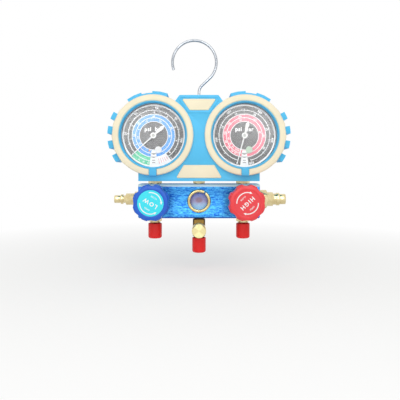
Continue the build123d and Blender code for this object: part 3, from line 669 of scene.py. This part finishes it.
class ManifoldPrint(PropertyGroup):
    """Sizes of what is printed on the dials and knobs"""
    figure_height: FloatProperty(
        name="Figure height", description="Height of the outer dial figures",
        default=2.3 * MM, unit="LENGTH")
    unit_height: FloatProperty(
        name="Unit height", description="Height of the unit on the dial",
        default=4.2 * MM, unit="LENGTH")
    label_height: FloatProperty(
        name="Label height", description="Height of the word on a knob",
        default=4.0 * MM, unit="LENGTH")
    ink_lift: FloatProperty(
        name="Ink lift", description="How far one layer of print stands over the last",
        default=0.04 * MM, unit="LENGTH")


class ManifoldEdges(PropertyGroup):
    """How far edges are rounded"""
    rubber_edge: FloatProperty(
        name="Rubber edge", description="Rounding of the boot, rings and inlays",
        default=0.7 * MM, unit="LENGTH")
    metal_edge: FloatProperty(
        name="Metal edge", description="Rounding of the bar and brass parts",
        default=0.3 * MM, unit="LENGTH")


class ManifoldStage(PropertyGroup):
    """Floor, background and lamps"""
    floor_colour: FloatVectorProperty(
        name="Floor colour", description="Colour of the floor", subtype="COLOR",
        default=linear("#f8f8f6")[:3])
    key_power: FloatProperty(
        name="Key power", description="Power of the large lamp in front", default=1.55,
        unit="POWER")


# ---------------------------------------------------------------- operators, one for each group

class DressRubber(Operator):
    """Round the edges of the boot, its cream rings and inlays"""
    bl_idname = "manifold.rubber"
    bl_label = "Boot, Rings and Inlays"

    def execute(self, context):
        edge = context.scene.manifold_edges.rubber_edge / MM
        soften("boot", edge, "blue_moulded_rubber")
        for side in SIDES:
            soften(f"{side}_bezel_ring", edge * 0.6, "cream_moulded_rubber")
        soften("upper_inlay", edge * 0.5, "cream_moulded_rubber")
        soften("lower_inlay", edge * 0.5, "cream_moulded_rubber")
        return {"FINISHED"}


class DressBar(Operator):
    """Finish the anodised bar"""
    bl_idname = "manifold.bar"
    bl_label = "Bar"

    def execute(self, context):
        soften("manifold_body", context.scene.manifold_edges.metal_edge / MM,
               "blue_anodised_aluminium")
        return {"FINISHED"}


class DressBrass(Operator):
    """Finish the brass fittings, the tee and the posts"""
    bl_idname = "manifold.brass"
    bl_label = "Brass Fittings"

    def execute(self, context):
        edge = context.scene.manifold_edges.metal_edge / MM
        dress(both("socket") + ["hook_bush", "service_core"], "turned_brass")
        for name in both("bonnet", "parking_post"):
            soften(name, edge, "turned_brass")
        for name in both("hose_fitting") + ["centre_tee"]:
            tee = name == "centre_tee"
            # The tee takes the brass darkened as painted shade
            fitting = soften(name, edge * 0.5, "brass_in_painted_shade" if tee else "turned_brass")
            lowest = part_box(name)[0].z / MM
            port = Vector((middle(name).x, middle("low_hose_fitting").y, 0))
            flare_thread(fitting, port, (0, 0, -1), -lowest)
            if tee:
                port = Vector((0, 0, middle("service_cap").z))
                flare_thread(fitting, port, (0, -1, 0), -front(name) / MM)
            choose(fitting)
            bpy.ops.object.shade_smooth_by_angle(angle=SMOOTH_ANGLE)
        soften("sight_ring", edge, "polished_brass")
        dress(["service_cap"], "faced_brass")
        dress(["core_pin"] + both("valve_stem", "knob_screw"), "stainless_steel")
        dress(["centre_cap_gasket"] + both("stem_seal", "cap_gasket"), "nitrile_rubber")
        return {"FINISHED"}


class DressHook(Operator):
    """Finish the wire hook"""
    bl_idname = "manifold.hook"
    bl_label = "Hook"

    def execute(self, context):
        dress(["hook"], "chromed_wire")
        return {"FINISHED"}


class DressCaps(Operator):
    """Finish the red screw caps"""
    bl_idname = "manifold.caps"
    bl_label = "Hose Caps"

    def execute(self, context):
        dress(["centre_hose_cap"] + both("hose_cap"), "red_vinyl")
        return {"FINISHED"}


class DressKnobs(Operator):
    """Finish the knobs and print their labels"""
    bl_idname = "manifold.knobs"
    bl_label = "Knobs and Labels"

    def execute(self, context):
        sizes = context.scene.manifold_print
        soften("low_knob", 0.5, "blue_abs")
        soften("high_knob", 0.5, "red_abs")
        dress(["low_knob_label"], "cyan_film")
        dress(["high_knob_label"], "red_film")
        # Each arrow: where it starts and how far it runs clockwise
        plans = {
            "low": ("LOW", -148, [(-8, 92), (272, -112)], "cyan_label"),
            "high": ("HIGH", -223, [(-92, 104), (88, 100)], "red_label"),
        }
        for side, (text, turn, arrows, slot) in plans.items():
            centre = middle(f"{side}_knob_label")
            centre.y = front(f"{side}_knob_label") - sizes.ink_lift
            pieces = [word(text, centre, sizes.label_height / MM, turn, "white_gloss_enamel",
                           bold=0.16, spread=1.35)]
            for start, run in arrows:
                end = start + run
                low, high = sorted((start, end))
                pieces.append(band("arrow", centre, *ARROW, low, high, "white_gloss_enamel"))
                point = end + (ARROW_REACH if run > 0 else -ARROW_REACH)
                corners = [on_face(centre, radius, end) for radius in ARROW_HEAD]
                pieces.append(patch("head", corners + [on_face(centre, ARROW_MIDDLE, point)],
                                    "white_gloss_enamel"))
            for text, away in (("OPEN", 1), ("CLOSE", -1)):
                spot_at = on_face(centre, 6.4 * away, turn)
                pieces.append(word(text, spot_at, 1.5, turn, "white_gloss_enamel", bold=0.03))
            join(f"{side}_label_print", pieces, f"{side}_knob", slot)
        return {"FINISHED"}


class PrintDials(Operator):
    """Print the scales, coloured bands and figures on both dials"""
    bl_idname = "manifold.dials"
    bl_label = "Dial Scales"

    def scale_angle(self, side, pressure):
        """Clock angle of a pressure in psi."""
        scale = SCALES[side]
        return scale["zero"] + pressure * scale["sweep"] / scale["last"]

    def execute(self, context):
        sizes = context.scene.manifold_print
        lift = sizes.ink_lift
        for side in SIDES:
            base = middle(f"{side}_dial")
            base.y = front(f"{side}_dial")
            layers = [base - Vector((0, lift * n, 0)) for n in (1, 2, 3)]
            tint = "dial_blue" if side == "low" else "dial_pink"
            pieces = [
                band("rim", layers[0], *RIM, 0, 360, "dial_white"),
                band("colour", layers[0], *COLOUR_BAND, 0, 360, tint),
                band("scale", layers[1], *SCALE_LINE, *SCALES[side]["line"], "dial_white"),
            ]
            for radii in CIRCLES:
                pieces.append(band("circle", layers[1], *radii, 0, 360, "dial_white"))
            pieces += self.outer_scale(side, layers, sizes)
            pieces += self.colour_scale(side, layers)
            if side == "low":
                pieces.append(band("vacuum", layers[0], *LOWER_ZONE, 188, 228, "dial_green"))
                pieces.append(band("retard", layers[0], *LOWER_ZONE, 145, 172, "dial_white"))
                pieces.append(ticks("retard_marks", layers[1], 24.2, 29.6, 0.4, 149, 168, 5,
                                    "dial_red"))
            wedge = [Vector((x, 0, z)) * MM + layers[1]
                     for x, z in ((-2.2, -15.4), (2.2, -15.4), (4.6, -32.2), (-4.6, -32.2))]
            pieces.append(patch("wedge", wedge, "dial_white"))
            for z, half in ((-19.5, 1.0), (-22.5, 1.3), (-25.5, 1.6), (-28.0, 1.8)):
                here = layers[2] + Vector((0, 0, z)) * MM
                corners = [here + Vector((x, 0, y)) * MM
                           for x, y in ((-half, -0.3), (half, -0.3), (half, 0.3), (-half, 0.3))]
                pieces.append(patch("wedge_line", corners, "dial_black"))
            pieces.append(word("psi  bar", layers[1] + Vector((0, 0, 6.6)) * MM,
                               sizes.unit_height / MM, 0, "dial_white", bold=0.16, spread=1.08))
            pieces.append(spot("stop_dot", layers[2] + Vector((-4.35, 0, -15.4)) * MM, 1.0,
                               "dial_orange"))
            join(f"{side}_dial_print", pieces, "set", f"{side}_dial_face")
            dress([f"{side}_dial"], "dial_grey")
        return {"FINISHED"}

    def outer_scale(self, side, layers, sizes):
        """Pressure figures and lines outside the scale circle, and bar figures inside it."""
        scale = SCALES[side]
        last, step = scale["last"], scale["step"]
        start, end = self.scale_angle(side, 0), self.scale_angle(side, last)
        pieces = [
            ticks("fine", layers[1], *FINE_LINE, 0.3, start, end, last // scale["fine"] + 1,
                  "dial_white"),
            ticks("bold", layers[1], *BOLD_LINE, 0.6, start, end, last // step * 2 + 1,
                  "dial_white"),
        ]
        for pressure in range(0, last + 1, step):
            angle = self.scale_angle(side, pressure)
            pieces.append(word(str(pressure), on_face(layers[1], 29.1, angle),
                               sizes.figure_height / MM, angle, "dial_white", bold=0.1))
        bars, gap = scale["last_bar"], scale["bar_step"]
        end = self.scale_angle(side, bars * PSI_PER_BAR)
        pieces.append(ticks("bar_lines", layers[1], *BAR_LINE, 0.24, start, end,
                            bars * 5 // gap + 1, "dial_white"))
        for bar in range(gap, bars + 1, gap):
            angle = self.scale_angle(side, bar * PSI_PER_BAR)
            pieces.append(word(str(bar), on_face(layers[1], 23.9, angle), 2.0, angle,
                               "dial_white", bold=0.09))
        if side == "low":
            pieces.append(ticks("vacuum_lines", layers[1], *VACUUM_LINE, 0.3, 191, 221, 4,
                                "dial_white"))
            for inches, angle in ((30, 191), (20, 201), (10, 211)):
                pieces.append(word(str(inches), on_face(layers[1], 29.0, angle), 1.5, angle,
                                   "dial_white"))
        return pieces

    def colour_scale(self, side, layers):
        """Temperature lines and figures on the coloured band."""
        limit = SCALES[side]["last"]
        pieces = []
        for boils, radius, height in ((BOIL_FAHRENHEIT, 20.0, 1.8), (BOIL_CELSIUS, 16.4, 1.7)):
            for degrees, pressure in boils.items():
                if pressure > limit:
                    continue
                angle = self.scale_angle(side, pressure)
                pieces.append(word(str(degrees), on_face(layers[1], radius, angle), height, angle,
                                   "dial_white"))
        start, end = self.scale_angle(side, 0), self.scale_angle(side, limit)
        for name, radius, count in (("warm_lines", 21.2, 25), ("cool_lines", 17.6, 21)):
            pieces.append(ticks(name, layers[1], radius, radius + 0.8, 0.25, start, end, count,
                                "dial_white"))
        return pieces


class DressGauges(Operator):
    """Finish the cases, pointers, windows and movements"""
    bl_idname = "manifold.gauges"
    bl_label = "Gauges"

    def execute(self, context):
        dress(both("gauge_case") + ["case_screws"], "plated_steel")
        dress(both("pointer"), "white_gloss_enamel")
        for name in both("pointer"):
            spindle = middle(name.replace("pointer", "lens"))
            spindle.y = front(name) - 0.02 * MM
            cap = band("cap", spindle, HUB_SPOT, HUB_CAP, 0, 360, "white_gloss_enamel")
            hub = spot("hub", spindle, HUB_SPOT, "hub_grey")
            join(f"{name}_hub", [cap, hub], nodes[name]["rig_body"], "white_enamel")
        dress(["low_zero_screw"], "white_acetal")
        dress(["high_zero_screw"], "pale_green_acetal")
        dress(both("movement_frame", "pinion_arbor", "sector_gear", "link"), "turned_brass")
        dress(both("bourdon_tube"), "phosphor_bronze")
        dress(both("lens"), "clear_polycarbonate")
        return {"FINISHED"}


class DressSight(Operator):
    """Finish the sight glass and the floor seen through it"""
    bl_idname = "manifold.sight"
    bl_label = "Sight Glass"

    def execute(self, context):
        dress(["sight_glass"], "sight_mineral_glass")
        # The seal and a flat disc just in front of it carry the floor with its painted reflection
        dress(["sight_seal"], "sight_floor_painted_reflection")
        centre = Vector((0, front("sight_seal") + 0.02 * MM, 0))
        floor = spot("sight_floor", centre, 9.6, "sight_floor_painted_reflection", corners=48)
        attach(floor, "set")
        return {"FINISHED"}


class BuildStage(Operator):
    """Lay the floor and set the camera, lamps and background"""
    bl_idname = "manifold.stage"
    bl_label = "Stage"

    def execute(self, context):
        sizes = context.scene.manifold_stage
        deselect()
        bpy.ops.mesh.primitive_plane_add(size=6.0, location=(0, 1.2, FLOOR_LEVEL))
        floor = context.active_object
        floor.name = "floor"
        bpy.ops.object.transform_apply(location=True, rotation=True, scale=True)
        material, tree, shader, place = begin("pale_floor", Roughness=0.9)
        shader.inputs["Base Color"].default_value = (*sizes.floor_colour, 1.0)
        reach = add_node(tree, "ShaderNodeVectorMath", {"Vector": place}, operation="LENGTH")
        far = add_node(tree, "ShaderNodeMapRange", {
            "Value": reach.outputs["Value"], "From Min": 0.05, "From Max": 0.5, "To Min": 0.5})
        faded = add_node(tree, "ShaderNodeMath", {
            0: far.outputs["Result"], 1: seen_directly(tree)}, operation="MULTIPLY")
        white = add_node(tree, "ShaderNodeEmission", {"Color": linear("#ffffff"), "Strength": 1.0})
        mix = add_node(tree, "ShaderNodeMixShader", {
            0: faded.outputs["Value"], 1: shader.outputs["BSDF"], 2: white.outputs["Emission"]})
        tree.links.new(mix.outputs["Shader"], tree.nodes["Material Output"].inputs["Surface"])
        floor.data.materials.append(material)

        world = bpy.data.worlds.new("background")
        context.scene.world = world
        world.use_nodes = True
        tree = world.node_tree
        tree.nodes.clear()
        soft = add_node(tree, "ShaderNodeBackground",
                        {"Color": linear("#f4f4f0"), "Strength": 0.5})
        white = add_node(tree, "ShaderNodeBackground",
                         {"Color": linear("#ffffff"), "Strength": 1.0})
        mix = add_node(tree, "ShaderNodeMixShader", {
            0: seen_directly(tree), 1: soft.outputs["Background"],
            2: white.outputs["Background"]})
        add_node(tree, "ShaderNodeOutputWorld", {"Surface": mix.outputs["Shader"]})

        # Each lamp: its place, what it is aimed at, its width and height, and its power
        lamps = (
            ("key", (0.0, -0.50, 0.52), (0.0, 0.0, 0.03), 0.60, 0.36, sizes.key_power),
            ("left_window", (-0.155, -0.62, 0.17), (-0.08, 0.0, 0.05), 0.19, 0.17, 0.4),
            ("right_window", (0.155, -0.62, 0.17), (0.08, 0.0, 0.05), 0.19, 0.17, 0.4),
        )
        for name, place, aim, wide, tall, power in lamps:
            deselect()
            bpy.ops.object.light_add(type="AREA", location=place)
            lamp = context.active_object
            lamp.name = name
            lamp.data.shape = "RECTANGLE"
            lamp.data.size = wide
            lamp.data.size_y = tall
            lamp.data.energy = power
            lamp.rotation_euler = (Vector(aim) - Vector(place)).to_track_quat("-Z", "Y").to_euler()

        bpy.ops.object.camera_add(location=CAMERA_PLACE, rotation=(pi / 2, 0, 0))
        camera = context.active_object
        camera.data.lens = CAMERA_LENS
        camera.data.sensor_width = 36
        camera.data.shift_x, camera.data.shift_y = CAMERA_SHIFT
        camera.data.clip_start = 0.01
        context.scene.camera = camera
        context.scene.view_settings.view_transform = "Standard"
        return {"FINISHED"}


class ManifoldPanel(Panel):
    """Lists the manifold's pieces and what can be changed"""
    bl_idname = "VIEW3D_PT_manifold"
    bl_label = "Refrigerant Manifold"
    bl_space_type = "VIEW_3D"
    bl_region_type = "UI"
    bl_category = "Manifold"

    def draw(self, context):
        for group in (context.scene.manifold_print, context.scene.manifold_edges,
                      context.scene.manifold_stage):
            for key in group.__annotations__:
                self.layout.prop(group, key)
        for operator in OPERATORS:
            self.layout.operator(operator.bl_idname)


OPERATORS = (DressRubber, DressBar, DressBrass, DressHook, DressCaps, DressKnobs, PrintDials,
             DressGauges, DressSight, BuildStage)
CLASSES = (ManifoldPrint, ManifoldEdges, ManifoldStage) + OPERATORS + (ManifoldPanel,)


def register():
    for one in CLASSES:
        bpy.utils.register_class(one)
    bpy.types.Scene.manifold_print = PointerProperty(type=ManifoldPrint)
    bpy.types.Scene.manifold_edges = PointerProperty(type=ManifoldEdges)
    bpy.types.Scene.manifold_stage = PointerProperty(type=ManifoldStage)


def unregister():
    del bpy.types.Scene.manifold_print
    del bpy.types.Scene.manifold_edges
    del bpy.types.Scene.manifold_stage
    for one in reversed(CLASSES):
        bpy.utils.unregister_class(one)


def main():
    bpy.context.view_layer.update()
    register()
    for one in OPERATORS:
        group, call = one.bl_idname.split(".")
        getattr(getattr(bpy.ops, group), call)()


if __name__ == "__main__":
    main()
